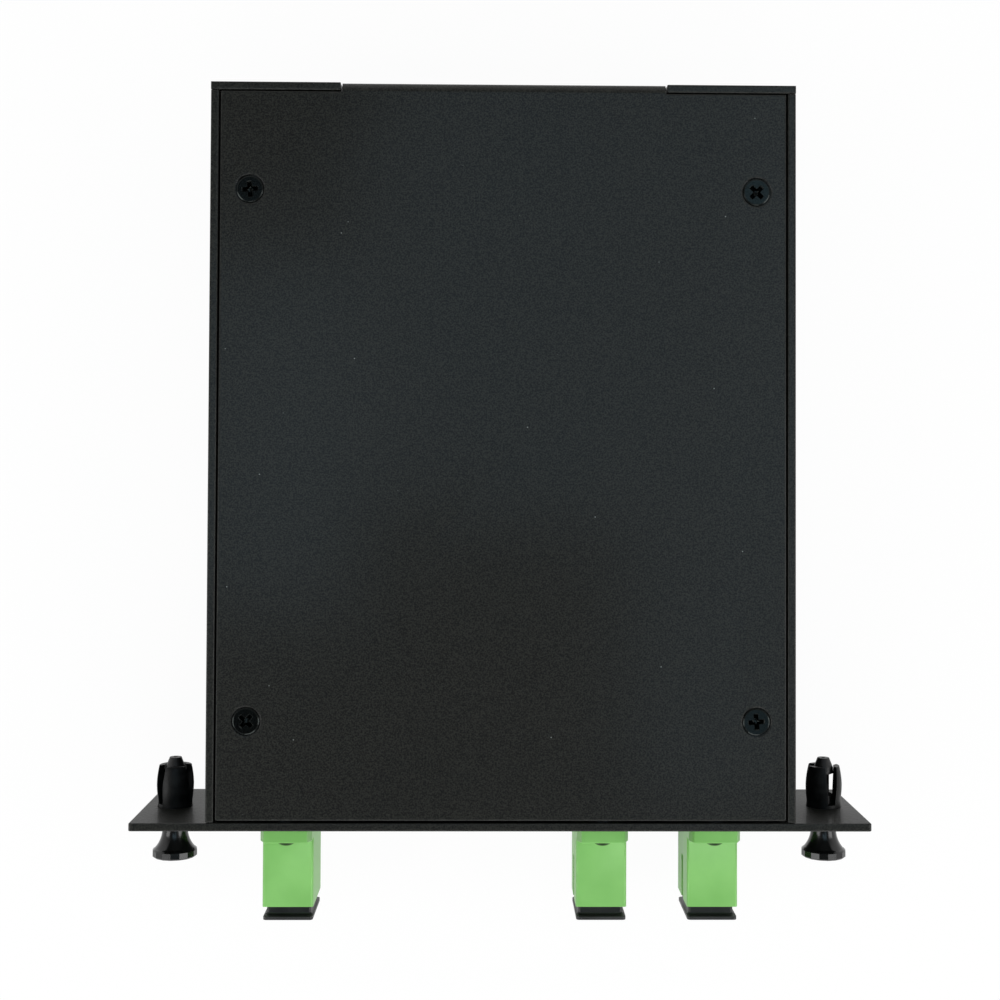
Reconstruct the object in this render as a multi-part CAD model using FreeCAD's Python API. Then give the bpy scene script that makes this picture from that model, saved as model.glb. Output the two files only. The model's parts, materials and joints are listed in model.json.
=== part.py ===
import FreeCAD, Part
import math
import os

from FreeCAD import Vector

os.makedirs("parts", exist_ok=True)

# Frame: millimetres, +X to the right of the front panel, +Y from the panel to the rear, +Z up.
# The origin is on the panel's rear face, halfway between the two latch axes.

# Sheet metal of the tray and its cover
sheet = 1.4
fold_inside = 0.8
fold_relief = 0.4
edge_round = 0.2
wing_width = 13.35
panel_height = 29.0
panel_corner = 0.45
body_width = 103.3
body_depth = 130.0
wall_front_gap = 0.2
wall_seam = 0.15
notch_width = 57.8
notch_depth = 10.6

# Cover, let in between the walls
cover_side_gap = 0.38
cover_front_gap = 0.5
cover_rear_gap = 0.3
tab_side_gap = 0.3
tab_stand = 0.1
tab_length = 10.0
tab_fold_inside = 0.3

# Cover screws and the standoffs they enter
screw_side_inset = 6.95
screw_first_y = 17.7
screw_spacing_y = 93.3
screw_shank_radius = 1.25
screw_head_radius = 2.35
screw_head_land = 0.1
screw_head_sink = 0.07
screw_length = 8.0
screw_hole_radius = 1.45
countersink_radius = 2.55
recess_arm = 1.45
recess_width = 0.8
recess_depth = 1.4
recess_tip = 0.45
recess_turns = (48.0, 5.0, 5.0, 45.0)
standoff_radius = 2.1
thread_clearance = 0.05
thread_depth = 9.0

# Ports
port_side_inset = 13.55
port_pitch = 20.0

# Adapter housing
adapter_width = 9.1
adapter_height = 13.0
adapter_reach = 12.4
adapter_corner = 0.4
keyway_overcut = 0.2
mouth_chamfer = 0.35
flange_height = 22.0
flange_thickness = 2.9
flange_corner_x = 0.75
flange_corner_z = 1.7
flange_edge = 0.15
cutout_clearance = 0.2
port_width = 7.5
port_height = 9.1
keyway_width = 2.2
keyway_length = 7.75

# Adapter screws and nuts
ear_spacing = 17.9
ear_hole_radius = 1.1
ear_screw_radius = 1.0
ear_screw_tail = 2.6
ear_head_radius = 1.75
ear_head_height = 0.85
ear_head_rim = 0.15
nut_flats = 4.0
nut_thickness = 1.6

# Adapter insert and its split sleeve
insert_clearance = 0.05
bulkhead_thickness = 2.4
barrel_reach = 6.6
barrel_radius = 2.3
barrel_lip = 0.7
barrel_lip_radius = 1.4
arm_reach = 8.0
arm_inner = 2.75
arm_thickness = 0.9
arm_width = 3.2
barb_height = 0.35
barb_length = 1.0
sleeve_radius = 1.6
sleeve_bore = 1.26
sleeve_length = 11.4
sleeve_slit = 0.5
sleeve_clearance = 0.1

# Dust cap
cap_clearance = 0.1
cap_wall = 0.7
cap_insertion = 8.0
cap_seat_gap = 0.05
cap_collar_width = 8.0
cap_collar_height = 9.4
cap_collar_length = 1.7
cap_flange_width = 8.9
cap_flange_height = 13.0
cap_flange_thickness = 0.6
cap_flare = 0.4
cap_end_wall = 0.9
cap_corner = 0.6
cap_edge = 0.22

# Latch: grommet in the wing and plunger with its knob
latch_edge_inset = 5.4
latch_hole_clearance = 0.05
grommet_radius = 3.1
grommet_land = 1.0
grommet_bulge = 3.35
grommet_bulge_y = 4.1
grommet_tip_radius = 2.9
grommet_length = 7.45
grommet_bore = 1.95
grommet_flange_radius = 4.4
grommet_flange = 1.6
leg_tip_crown = 0.08
leg_root_crown = 0.05
leg_count = 3
slot_start = 0.6
slot_root_width = 1.4
slot_tip_width = 2.4
leg_angles = {"left": 78.0, "right": 12.5}
plunger_clearance = 0.07
plunger_stem_end = 2.0
plunger_neck_start = 2.7
plunger_neck_radius = 1.04
plunger_neck_end = 5.8
plunger_head_start = 6.1
plunger_head_end = 7.1
plunger_head_radius = 1.77
plunger_tip_radius = 1.07
plunger_tip_end = 8.85
dimple_radius = 0.35
dimple_depth = 0.25
knob_seat_gap = 0.05
knob_neck_radius = 2.3
knob_flare_start = 1.2
knob_flare_length = 3.45
knob_flare_waist = 0.28
knob_flare_bend = 0.55
knob_radius = 4.05
knob_rim = 1.5
knob_facets = 16
knob_edge = 0.25

# Connectors in the rear of the adapters
plug_width = 7.4
plug_height = 9.0
plug_front = 4.0
plug_length = 23.5
plug_pocket = 4.9
plug_wall = 0.65
plug_corner = 0.5
key_width = 2.0
key_height = 0.7
key_root = 0.2
key_start = 6.2
key_length = 5.6
grip_count = 4
grip_pitch = 2.0
grip_depth = 0.3
ferrule_radius = 1.25
ferrule_bore_clearance = 0.02
ferrule_length = 13.0
ferrule_collar_radius = 2.2
ferrule_collar_length = 4.0
ferrule_angle = 8.0
boot_length = 22.0
boot_root_radius = 2.7
boot_tip_radius = 1.2
boot_root = 3.0
boot_rings = 4
boot_groove = 0.2
boot_groove_share = 0.3

# Splitter in its case
case_length = 40.0
case_size = 4.0
case_wall = 0.4
case_y = 108.0
pad_thickness = 1.0
pad_end_inset = 2.0
end_plug = 1.5
end_flange = 1.5
end_clearance = 0.05
chip_length = 12.0
chip_width = 2.4
chip_thickness = 1.2
array_length = 8.0
array_size = 2.6

# Buffered fibre leads and their clips
lead_radius = 0.45
lead_spread = 1.6
lead_bore_clearance = 0.1
case_turn_radius = 14.5
case_exit_run = 2.1
rise_radius_outer = 12.0
rise_radius_inner = 9.6
side_lane_inset = 7.25
side_lane_radius = 10.0
return_lane_y = 80.0
rise_start_outer = 86.0
rise_run_outer = 18.0
rise_start_inner = 66.0
rise_run_inner = 14.0
clip_width = 4.2
clip_length = 3.0
clip_after_turn = 2.6
clip_cover = 0.9
clip_slit = 0.6

# Places worked out from the sizes above
panel_front = -sheet
top = panel_height / 2
bottom = -panel_height / 2
floor = bottom + sheet
half_body = body_width / 2
half_panel = half_body + wing_width
fold_outside = fold_inside + sheet
wall_inside = half_body - sheet
adapter_centre = panel_front - flange_thickness / 2
adapter_half = flange_thickness / 2 + adapter_reach
adapter_front = adapter_centre - adapter_half
adapter_rear = adapter_centre + adapter_half
flange_front = panel_front - flange_thickness
plug_start = adapter_centre + plug_front
plug_end = plug_start + plug_length
boot_end = plug_end + boot_length
cover_under = top - sheet
case_z = floor + pad_thickness + case_size / 2
port_outer_x = half_body - port_side_inset
side_lane_x = wall_inside - side_lane_inset
turn_room = port_outer_x - case_length / 2 - end_flange - case_exit_run
turn_radius = min(case_turn_radius, turn_room)
ports = {
    "in": -port_outer_x,
    "out_1": port_outer_x - port_pitch,
    "out_2": port_outer_x,
}
latches = {"left": latch_edge_inset - half_panel, "right": half_panel - latch_edge_inset}
screw_places = [
    (side * (half_body - screw_side_inset), screw_first_y + row * screw_spacing_y)
    for row in (0, 1)
    for side in (-1, 1)
]


def block(x0, x1, y0, y1, z0, z1):
    return Part.makeBox(x1 - x0, y1 - y0, z1 - z0, Vector(x0, y0, z0))


def centred(x, width, y0, y1, z, height):
    return block(x - width / 2, x + width / 2, y0, y1, z - height / 2, z + height / 2)


def rod(x, z, radius, y0, y1):
    return Part.makeCylinder(radius, y1 - y0, Vector(x, y0, z), Vector(0, 1, 0))


def post(x, y, radius, z0, z1):
    return Part.makeCylinder(radius, z1 - z0, Vector(x, y, z0), Vector(0, 0, 1))


def prism(points, direction):
    outline = Part.makePolygon(points + [points[0]])
    return Part.Face(outline).extrude(direction)


def rounded(shape, radius, wanted):
    edges = [edge for edge in shape.Edges if wanted(edge.BoundBox)]
    return shape.makeFillet(radius, edges)


def chamfered(shape, size, wanted):
    edges = [edge for edge in shape.Edges if wanted(edge.BoundBox)]
    return shape.makeChamfer(size, edges)


def along_y(box):
    return box.YLength > 10 * max(box.XLength, box.ZLength, 1e-3)


def at_y(y):
    return lambda box: abs(box.YMin - y) < 1e-4 and abs(box.YMax - y) < 1e-4


def turned(profile, x, z):
    """Solid of revolution about the Y axis through x, z, from edges drawn as radius and Y."""
    wire = Part.Wire(Part.__sortEdges__(profile))
    solid = Part.Face(wire).revolve(Vector(0, 0, 0), Vector(0, 1, 0), 360)
    return solid.translated(Vector(x, 0, z))


def line(a, b):
    return Part.LineSegment(Vector(a[0], a[1], 0), Vector(b[0], b[1], 0)).toShape()


def bow(a, mid, b):
    return Part.Arc(*(Vector(p[0], p[1], 0) for p in (a, mid, b))).toShape()


def outline_of(points):
    return [line(a, b) for a, b in zip(points, points[1:] + points[:1])]


def save(name, shape):
    shape = shape if shape.ShapeType == "Compound" and len(shape.Solids) > 1 else shape.Solids[0]
    assert shape.isValid(), name
    shape.exportStep("parts/" + name + ".step")
    print(name, len(shape.Solids), "solid", round(shape.Volume, 2), "mm3")


def save_group(name, solids):
    save(name, Part.makeCompound([solid.Solids[0] for solid in solids]))


# Folded tray

def fold_strip(radius_inside, start, end):
    """Quarter-round fold along X, its centre on the axis, from the -Y face round to the -Z face."""
    radius_outside = radius_inside + sheet
    ring = Part.makeCylinder(radius_outside, end - start, Vector(start, 0, 0), Vector(1, 0, 0))
    bore = Part.makeCylinder(radius_inside, end - start, Vector(start, 0, 0), Vector(1, 0, 0))
    quarter = block(start, end, -radius_outside, 0, -radius_outside, 0)
    return ring.cut(bore).common(quarter)


def port_openings(shape):
    for x in ports.values():
        width = adapter_width + 2 * cutout_clearance
        height = adapter_height + 2 * cutout_clearance
        shape = shape.cut(centred(x, width, panel_front - 1, 1, 0, height))
        for side in (-1, 1):
            shape = shape.cut(rod(x, side * ear_spacing / 2, ear_hole_radius, panel_front - 1, 1))
    return shape


def front_panel():
    panel = block(-half_panel, half_panel, panel_front, 0, bottom, top)
    panel = rounded(panel, panel_corner, along_y_through(sheet))
    panel_end = half_panel - 1e-4
    panel = rounded(panel, edge_round, lambda box: box.ZMin > top - 1e-4 or abs(box.XMin) > panel_end)
    fold_half = half_body - fold_outside
    panel = panel.cut(block(-fold_half, fold_half, panel_front - 1, 1, bottom - 1, bottom + fold_outside))
    for x in latches.values():
        panel = panel.cut(rod(x, 0, grommet_radius + latch_hole_clearance, panel_front - 1, 1))
    return port_openings(panel)


def along_y_through(length):
    return lambda box: abs(box.YLength - length) < 1e-4 and max(box.XLength, box.ZLength) < 1e-3


def side_wall():
    rear = body_depth - sheet - wall_seam
    wall = block(wall_inside, half_body, wall_front_gap, rear, bottom + fold_outside, top)
    return rounded(wall, edge_round, lambda box: box.ZMin > top - 1e-4 and box.YLength > sheet * 2)


def rear_wall():
    wall = block(-half_body, half_body, body_depth - sheet, body_depth, bottom + fold_outside, top)
    wall = rounded(wall, edge_round, lambda box: box.ZMin > top - 1e-4 and box.XLength > sheet * 2)
    half = notch_width / 2
    notch = block(-half, half, body_depth - sheet - 1, body_depth + 1, top - notch_depth, top + 1)
    return wall.cut(notch)


def tray():
    fold_half = half_body - fold_outside
    front_line = panel_front + fold_outside
    rear_line = body_depth - fold_outside
    strip_half = fold_half - fold_relief
    plate = block(-fold_half, fold_half, front_line, rear_line, bottom, floor)
    front_fold = fold_strip(fold_inside, -strip_half, strip_half)
    front_fold.translate(Vector(0, front_line, bottom + fold_outside))
    rear_fold = fold_strip(fold_inside, -strip_half, strip_half).mirror(Vector(0, 0, 0), Vector(0, 1, 0))
    rear_fold.translate(Vector(0, rear_line, bottom + fold_outside))
    side_fold = fold_strip(fold_inside, front_line + fold_relief, rear_line - fold_relief)
    side_fold.rotate(Vector(0, 0, 0), Vector(0, 0, 1), 90)
    side_fold.translate(Vector(fold_half, 0, bottom + fold_outside))
    right = [side_fold, side_wall()]
    left = [shape.mirror(Vector(0, 0, 0), Vector(1, 0, 0)) for shape in right]
    shape = plate.multiFuse([front_fold, rear_fold, front_panel(), rear_wall()] + right + left)
    return shape.removeSplitter()


# Cover

def countersink(x, y):
    depth = countersink_radius - screw_hole_radius
    cone = Part.makeCone(screw_hole_radius, countersink_radius, depth, Vector(x, y, top - depth))
    return cone.fuse(post(x, y, screw_hole_radius, cover_under - 1, top)).fuse(
        post(x, y, countersink_radius, top, top + 1)
    )


def top_cover():
    half = wall_inside - cover_side_gap
    rear = body_depth - sheet - cover_rear_gap
    tab_half = notch_width / 2 - tab_side_gap
    tab_face = body_depth + tab_stand
    fold_out = tab_fold_inside + sheet
    fold_y = tab_face - fold_out
    slot_half = tab_half + tab_side_gap
    tab_root = min(fold_y, rear)
    plate = block(-half, half, cover_front_gap, rear, cover_under, top)
    plate = rounded(plate, edge_round, lambda box: box.ZLength > sheet / 2)
    plate = plate.cut(block(-slot_half, slot_half, tab_root, rear + 1, cover_under - 1, top + 1))
    root = block(-tab_half, tab_half, tab_root - sheet, fold_y, cover_under, top)
    fold = fold_strip(tab_fold_inside, -tab_half, tab_half)
    fold.rotate(Vector(0, 0, 0), Vector(1, 0, 0), 180)
    fold.translate(Vector(0, fold_y, top - fold_out))
    tab = block(-tab_half, tab_half, tab_face - sheet, tab_face, top - tab_length, top - fold_out)
    shape = plate.multiFuse([root, fold, tab])
    for x, y in screw_places:
        shape = shape.cut(countersink(x, y))
    return shape.removeSplitter()


def cover_screw(x, y, turn):
    head_top = top - screw_head_sink
    cone_top = head_top - screw_head_land
    cone_depth = screw_head_radius - screw_shank_radius
    shape = post(x, y, screw_head_radius, cone_top, head_top)
    cone_foot = cone_top - cone_depth
    cone = Part.makeCone(screw_shank_radius, screw_head_radius, cone_depth, Vector(x, y, cone_foot))
    shank = post(x, y, screw_shank_radius, head_top - screw_length, cone_foot)
    shape = shape.multiFuse([cone, shank]).removeSplitter()
    return shape.cut(driver_cross(turn).translated(Vector(x, y, head_top)))


def driver_cross(turn):
    """Cross recess whose four arms narrow towards its foot, its mouth at height 0."""
    arm = block(-recess_arm, recess_arm, -recess_width / 2, recess_width / 2, -recess_depth, 1)
    cross = arm.fuse(arm.rotated(Vector(0, 0, 0), Vector(0, 0, 1), 90))
    taper = Part.makeCone(recess_tip, recess_arm, recess_depth, Vector(0, 0, -recess_depth))
    cross = cross.common(taper.fuse(post(0, 0, recess_arm, 0, 1)))
    return cross.rotated(Vector(0, 0, 0), Vector(0, 0, 1), turn)


def standoff(x, y):
    shape = post(x, y, standoff_radius, floor, cover_under)
    bore = post(x, y, screw_shank_radius + thread_clearance, cover_under - thread_depth, cover_under + 1)
    return shape.cut(bore)


# Adapter

def adapter_housing(x):
    body = centred(x, adapter_width, adapter_front, adapter_rear, 0, adapter_height)
    body = rounded(body, adapter_corner, along_y)
    half_width = adapter_width / 2
    half_height = flange_height / 2
    corner = [
        (half_width, half_height - flange_corner_z),
        (half_width - flange_corner_x, half_height),
    ]
    right = [Vector(x + a, flange_front, b) for a, b in corner]
    left = [Vector(x - a, flange_front, b) for a, b in reversed(corner)]
    below_left = [Vector(x - a, flange_front, -b) for a, b in corner]
    below_right = [Vector(x + a, flange_front, -b) for a, b in reversed(corner)]
    flange = prism(right + left + below_left + below_right, Vector(0, flange_thickness, 0))
    flange = chamfered(flange, flange_edge, at_y(flange_front))
    body = body.fuse(flange)
    mouth = centred(x, port_width, adapter_front - 1, adapter_rear + 1, 0, port_height)
    body = body.cut(mouth)
    body = chamfered(body, mouth_chamfer, mouth_edges(x))
    wall = (adapter_width - port_width) / 2
    slot_x = x - half_width + wall / 2
    slot = wall + keyway_overcut
    front_end = adapter_front + keyway_length
    rear_start = adapter_rear - keyway_length
    body = body.cut(centred(slot_x, slot, adapter_front - 1, front_end, 0, keyway_width))
    body = body.cut(centred(slot_x, slot, rear_start, adapter_rear + 1, 0, keyway_width))
    for side in (-1, 1):
        body = body.cut(rod(x, side * ear_spacing / 2, ear_hole_radius, flange_front - 1, panel_front + 1))
    return body


def mouth_edges(x):
    def wanted(box):
        on_end = any(abs(box.YMin - y) + abs(box.YMax - y) < 1e-3 for y in (adapter_front, adapter_rear))
        across = max(abs(box.XMin - x), abs(box.XMax - x)) < port_width / 2 + 1e-3
        return on_end and across and max(abs(box.ZMin), abs(box.ZMax)) < port_height / 2 + 1e-3
    return wanted


def insert_arm(x, toward, side):
    """One latching arm; toward is -1 for the front port and 1 for the rear, side picks +Z or -Z."""
    profile = [
        (0.0, arm_inner),
        (arm_reach - barb_length, arm_inner),
        (arm_reach - barb_length, arm_inner - barb_height),
        (arm_reach, arm_inner),
        (arm_reach, arm_inner + arm_thickness),
        (0.0, arm_inner + arm_thickness),
    ]
    points = [Vector(x - arm_width / 2, adapter_centre + toward * a, side * b) for a, b in profile]
    return prism(points, Vector(arm_width, 0, 0))


def adapter_insert(x):
    half = bulkhead_thickness / 2
    plate = centred(
        x, port_width - 2 * insert_clearance, adapter_centre - half, adapter_centre + half,
        0, port_height - 2 * insert_clearance,
    )
    barrel = rod(x, 0, barrel_radius, adapter_centre - barrel_reach, adapter_centre + barrel_reach)
    arms = [insert_arm(x, toward, side) for toward in (-1, 1) for side in (-1, 1)]
    shape = plate.multiFuse([barrel] + arms)
    lip_at = barrel_reach - barrel_lip
    bore = rod(x, 0, sleeve_radius + sleeve_clearance, adapter_centre - lip_at, adapter_centre + lip_at)
    shape = shape.cut(bore)
    return shape.cut(
        rod(x, 0, barrel_lip_radius, adapter_centre - barrel_reach - 1, adapter_centre + barrel_reach + 1)
    )


def adapter_sleeve(x):
    y0 = adapter_centre - sleeve_length / 2
    y1 = adapter_centre + sleeve_length / 2
    shape = rod(x, 0, sleeve_radius, y0, y1).cut(rod(x, 0, sleeve_bore, y0 - 1, y1 + 1))
    return shape.cut(block(x - sleeve_slit / 2, x + sleeve_slit / 2, y0 - 1, y1 + 1, 0, sleeve_radius + 1))


def adapter_screw(x, z):
    crown = flange_front - ear_head_height
    rim = flange_front - ear_head_rim
    dome = rim - crown
    ball = (ear_head_radius ** 2 + dome ** 2) / (2 * dome)
    half_angle = math.asin(ear_head_radius / ball) / 2
    crest = (ball * math.sin(half_angle), crown + ball * (1 - math.cos(half_angle)))
    profile = [
        line((0, crown), (0, ear_screw_tail)),
        line((0, ear_screw_tail), (ear_screw_radius, ear_screw_tail)),
        line((ear_screw_radius, ear_screw_tail), (ear_screw_radius, flange_front)),
        line((ear_screw_radius, flange_front), (ear_head_radius, flange_front)),
        line((ear_head_radius, flange_front), (ear_head_radius, rim)),
        bow((ear_head_radius, rim), crest, (0, crown)),
    ]
    return turned(profile, x, z)


def adapter_nut(x, z):
    corner = nut_flats / 2 / math.cos(math.pi / 6)
    points = [
        Vector(x + corner * math.cos(math.radians(60 * i)), 0, z + corner * math.sin(math.radians(60 * i)))
        for i in range(6)
    ]
    nut = prism(points, Vector(0, nut_thickness, 0))
    return nut.cut(rod(x, z, ear_screw_radius + thread_clearance, -1, nut_thickness + 1))


# Dust cap

def dust_cap(x):
    collar_rear = adapter_front - cap_seat_gap
    collar_front = collar_rear - cap_collar_length
    cap_front = collar_front - cap_flange_thickness
    skirt_width = port_width - 2 * cap_clearance
    skirt_height = port_height - 2 * cap_clearance
    skirt_end = adapter_front + cap_insertion
    flange = centred(x, cap_flange_width, cap_front, collar_front, 0, cap_flange_height)
    flange = rounded(flange, cap_corner, along_y_through(cap_flange_thickness))
    collar = centred(x, cap_collar_width, collar_front, collar_rear, 0, cap_collar_height)
    collar = rounded(collar, cap_corner, along_y_through(cap_collar_length))
    shape = flange.fuse(collar)
    shape = rounded(shape, cap_flare, lambda box: at_y(collar_front)(box) and inside_collar(x, box))
    outer_edges = outer_flange_edge(x, collar_front)
    shape = rounded(shape, cap_edge, lambda box: at_y(cap_front)(box) or outer_edges(box))
    skirt = centred(x, skirt_width, collar_front, skirt_end, 0, skirt_height)
    skirt = rounded(skirt, cap_corner, along_y_through(skirt_end - collar_front))
    skirt = chamfered(skirt, cap_flare, at_y(skirt_end))
    hollow_width = skirt_width - 2 * cap_wall
    hollow_height = skirt_height - 2 * cap_wall
    hollow = centred(x, hollow_width, cap_front + cap_end_wall, skirt_end + 1, 0, hollow_height)
    return shape.fuse(skirt).cut(hollow).removeSplitter()


def inside_collar(x, box):
    return max(abs(box.ZMin), abs(box.ZMax)) < cap_collar_height / 2 + 1e-3


def outer_flange_edge(x, y):
    def wanted(box):
        reach = max(abs(box.ZMin), abs(box.ZMax)) > cap_flange_height / 2 - cap_corner - 1e-3
        wide = max(abs(box.XMin - x), abs(box.XMax - x)) > cap_flange_width / 2 - cap_corner - 1e-3
        return at_y(y)(box) and (reach or wide)
    return wanted


# Latch

def latch_grommet(side):
    x = latches[side]
    flange_front_y = panel_front - grommet_flange
    upper = (grommet_bulge + grommet_tip_radius) / 2 + leg_tip_crown
    lower = (grommet_bulge + grommet_radius) / 2 + leg_root_crown
    profile = [
        line((grommet_bore, flange_front_y), (grommet_flange_radius, flange_front_y)),
        line((grommet_flange_radius, flange_front_y), (grommet_flange_radius, panel_front)),
        line((grommet_flange_radius, panel_front), (grommet_radius, panel_front)),
        line((grommet_radius, panel_front), (grommet_radius, grommet_land)),
        bow(
            (grommet_radius, grommet_land),
            (lower, (grommet_land + grommet_bulge_y) / 2),
            (grommet_bulge, grommet_bulge_y),
        ),
        bow(
            (grommet_bulge, grommet_bulge_y),
            (upper, (grommet_bulge_y + grommet_length) / 2),
            (grommet_tip_radius, grommet_length),
        ),
        line((grommet_tip_radius, grommet_length), (grommet_bore, grommet_length)),
        line((grommet_bore, grommet_length), (grommet_bore, flange_front_y)),
    ]
    shape = turned(profile, 0, 0)
    reach = grommet_flange_radius + 1
    slot = prism(
        [
            Vector(0, slot_start, -slot_root_width / 2),
            Vector(0, grommet_length + 0.01, -slot_tip_width / 2),
            Vector(0, grommet_length + 0.01, slot_tip_width / 2),
            Vector(0, slot_start, slot_root_width / 2),
        ],
        Vector(reach, 0, 0),
    )
    for i in range(leg_count):
        turn = leg_angles[side] + (i + 0.5) * 360 / leg_count
        shape = shape.cut(slot.rotated(Vector(0, 0, 0), Vector(0, 1, 0), -turn))
    return shape.translated(Vector(x, 0, 0))


def latch_plunger(side):
    x = latches[side]
    stem = grommet_bore - plunger_clearance
    knob_back = panel_front - grommet_flange - knob_seat_gap
    flare_start = knob_back - knob_flare_start
    rim_back = flare_start - knob_flare_length
    flare_radius = knob_radius * math.cos(math.pi / knob_facets) - knob_edge
    flare_mid = (
        knob_neck_radius + knob_flare_waist * (flare_radius - knob_neck_radius),
        flare_start - knob_flare_bend * knob_flare_length,
    )
    shaft = [
        (0, plunger_tip_end),
        (plunger_tip_radius, plunger_tip_end),
        (plunger_head_radius, plunger_head_end),
        (plunger_head_radius, plunger_head_start),
        (plunger_neck_radius, plunger_neck_end),
        (plunger_neck_radius, plunger_neck_start),
        (stem, plunger_stem_end),
        (stem, knob_back),
        (knob_neck_radius, knob_back),
        (knob_neck_radius, flare_start),
    ]
    edges = [line(a, b) for a, b in zip(shaft, shaft[1:])]
    edges.append(bow((knob_neck_radius, flare_start), flare_mid, (flare_radius, rim_back)))
    edges.append(line((flare_radius, rim_back), (0, rim_back)))
    edges.append(line((0, rim_back), (0, plunger_tip_end)))
    spindle = turned(edges, 0, 0)
    corners = [
        Vector(
            knob_radius * math.cos(2 * math.pi * i / knob_facets),
            rim_back - knob_rim,
            knob_radius * math.sin(2 * math.pi * i / knob_facets),
        )
        for i in range(knob_facets)
    ]
    rim = prism(corners, Vector(0, knob_rim, 0))
    rim = rim.makeChamfer(knob_edge, [edge for edge in rim.Edges if edge.BoundBox.YLength < 1e-4])
    dimple = rod(0, 0, dimple_radius, plunger_tip_end - dimple_depth, plunger_tip_end + 1)
    return spindle.fuse(rim).cut(dimple).translated(Vector(x, 0, 0))


# Connector in the rear port

def connector(x):
    body = centred(x, plug_width, plug_start, plug_end, 0, plug_height)
    body = rounded(body, plug_corner, along_y_through(plug_length))
    key_y = adapter_centre + key_start
    key_x = x - plug_width / 2 - key_height / 2
    key = centred(key_x, key_height + key_root, key_y, key_y + key_length, 0, key_width)
    body = body.fuse(key)
    for i in range(grip_count):
        y0 = plug_end - grip_pitch * (i + 1.25)
        y1 = y0 + grip_pitch / 2
        for side in (-1, 1):
            z = side * plug_height / 2
            body = body.cut(centred(x, plug_width + 1, y0, y1, z, 2 * grip_depth))
    pocket = centred(
        x, plug_width - 2 * plug_wall, plug_start - 1, plug_start + plug_pocket,
        0, plug_height - 2 * plug_wall,
    )
    collar_start = adapter_centre + ferrule_length
    bore = rod(x, 0, ferrule_radius + ferrule_bore_clearance, plug_start, plug_end + 1)
    seat_radius = ferrule_collar_radius + ferrule_bore_clearance
    seat = rod(x, 0, seat_radius, collar_start - ferrule_collar_length, collar_start)
    return body.cut(pocket).cut(bore).cut(seat)


def ferrule(x):
    end = adapter_centre + ferrule_length
    shape = rod(x, 0, ferrule_radius, adapter_centre - ferrule_radius, end)
    collar = rod(x, 0, ferrule_collar_radius, end - ferrule_collar_length, end)
    slope = centred(x, 4 * ferrule_radius, -4 * ferrule_radius, 0, 0, 4 * ferrule_radius)
    slope.rotate(Vector(x, 0, 0), Vector(1, 0, 0), ferrule_angle)
    slope.translate(Vector(0, adapter_centre, 0))
    return shape.fuse(collar).cut(slope).removeSplitter()


def boot(x):
    step = (boot_length - boot_root) / boot_rings
    points = [(lead_radius + lead_bore_clearance, plug_end), (boot_root_radius, plug_end)]
    points.append((boot_root_radius, plug_end + boot_root))
    for i in range(boot_rings):
        y = plug_end + boot_root + step * i
        share = i / boot_rings
        radius = boot_root_radius + (boot_tip_radius - boot_root_radius) * (share + 0.5 / boot_rings)
        groove_end = y + step * boot_groove_share
        points.append((radius - boot_groove, y))
        points.append((radius - boot_groove, groove_end))
        points.append((radius, groove_end))
        points.append((radius, y + step))
    points.append((lead_radius + lead_bore_clearance, boot_end))
    return turned(outline_of(points), x, 0)


# Splitter

def splitter_case():
    half = case_length / 2
    shape = centred(0, case_length, case_y - case_size / 2, case_y + case_size / 2, case_z, case_size)
    inner = case_size - 2 * case_wall
    return shape.cut(block(-half - 1, half + 1, case_y - inner / 2, case_y + inner / 2,
                           case_z - inner / 2, case_z + inner / 2))


def end_cap(side, fibres):
    half = case_length / 2
    fit = case_size / 2 - case_wall - end_clearance
    x0, x1 = sorted((side * (half - end_plug), side * half))
    plug = block(x0, x1, case_y - fit, case_y + fit, case_z - fit, case_z + fit)
    x0, x1 = sorted((side * half, side * (half + end_flange)))
    head = block(x0, x1, case_y - case_size / 2, case_y + case_size / 2,
                 case_z - case_size / 2, case_z + case_size / 2)
    shape = plug.fuse(head)
    for y in fibres:
        bore = Part.makeCylinder(
            lead_radius + lead_bore_clearance, case_length,
            Vector(side * half / 2, y, case_z), Vector(side, 0, 0),
        )
        shape = shape.cut(bore)
    return shape


def inner_block(x0, x1, width, z0, z1):
    return block(x0, x1, case_y - width / 2, case_y + width / 2, z0, z1)


case_floor = case_z - case_size / 2 + case_wall
array_end = chip_length / 2 + array_length


def splitter_pad():
    pad_length = case_length - 2 * pad_end_inset
    return centred(0, pad_length, case_y - case_size / 2, case_y + case_size / 2,
                   floor + pad_thickness / 2, pad_thickness)


# Leads

def round_path(points, radii, radius):
    """Tube of straight runs joined by tangent arcs, one radius for each inner point."""
    points = [Vector(*p) for p in points]
    edges = []
    start = points[0]
    for before, corner, after, bend in zip(points, points[1:], points[2:], radii):
        into = (corner - before).normalize()
        away = (after - corner).normalize()
        half_turn = into.getAngle(away) / 2
        reach = bend * math.tan(half_turn)
        a = corner - into * reach
        b = corner + away * reach
        inward = (away - into).normalize()
        mid = corner + inward * (bend / math.cos(half_turn) - bend)
        edges.append(Part.LineSegment(start, a).toShape())
        edges.append(Part.Arc(a, mid, b).toShape())
        start = b
    edges.append(Part.LineSegment(start, points[-1]).toShape())
    path = Part.Wire(edges)
    direction = (points[1] - points[0]).normalize()
    ring = Part.Wire([Part.Circle(points[0], direction, radius).toShape()])
    tube = path.makePipeShell([ring], True, False)
    print("lead length", round(path.Length, 1), "volume over section",
          round(tube.Volume / (math.pi * radius ** 2), 1))
    return tube


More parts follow.
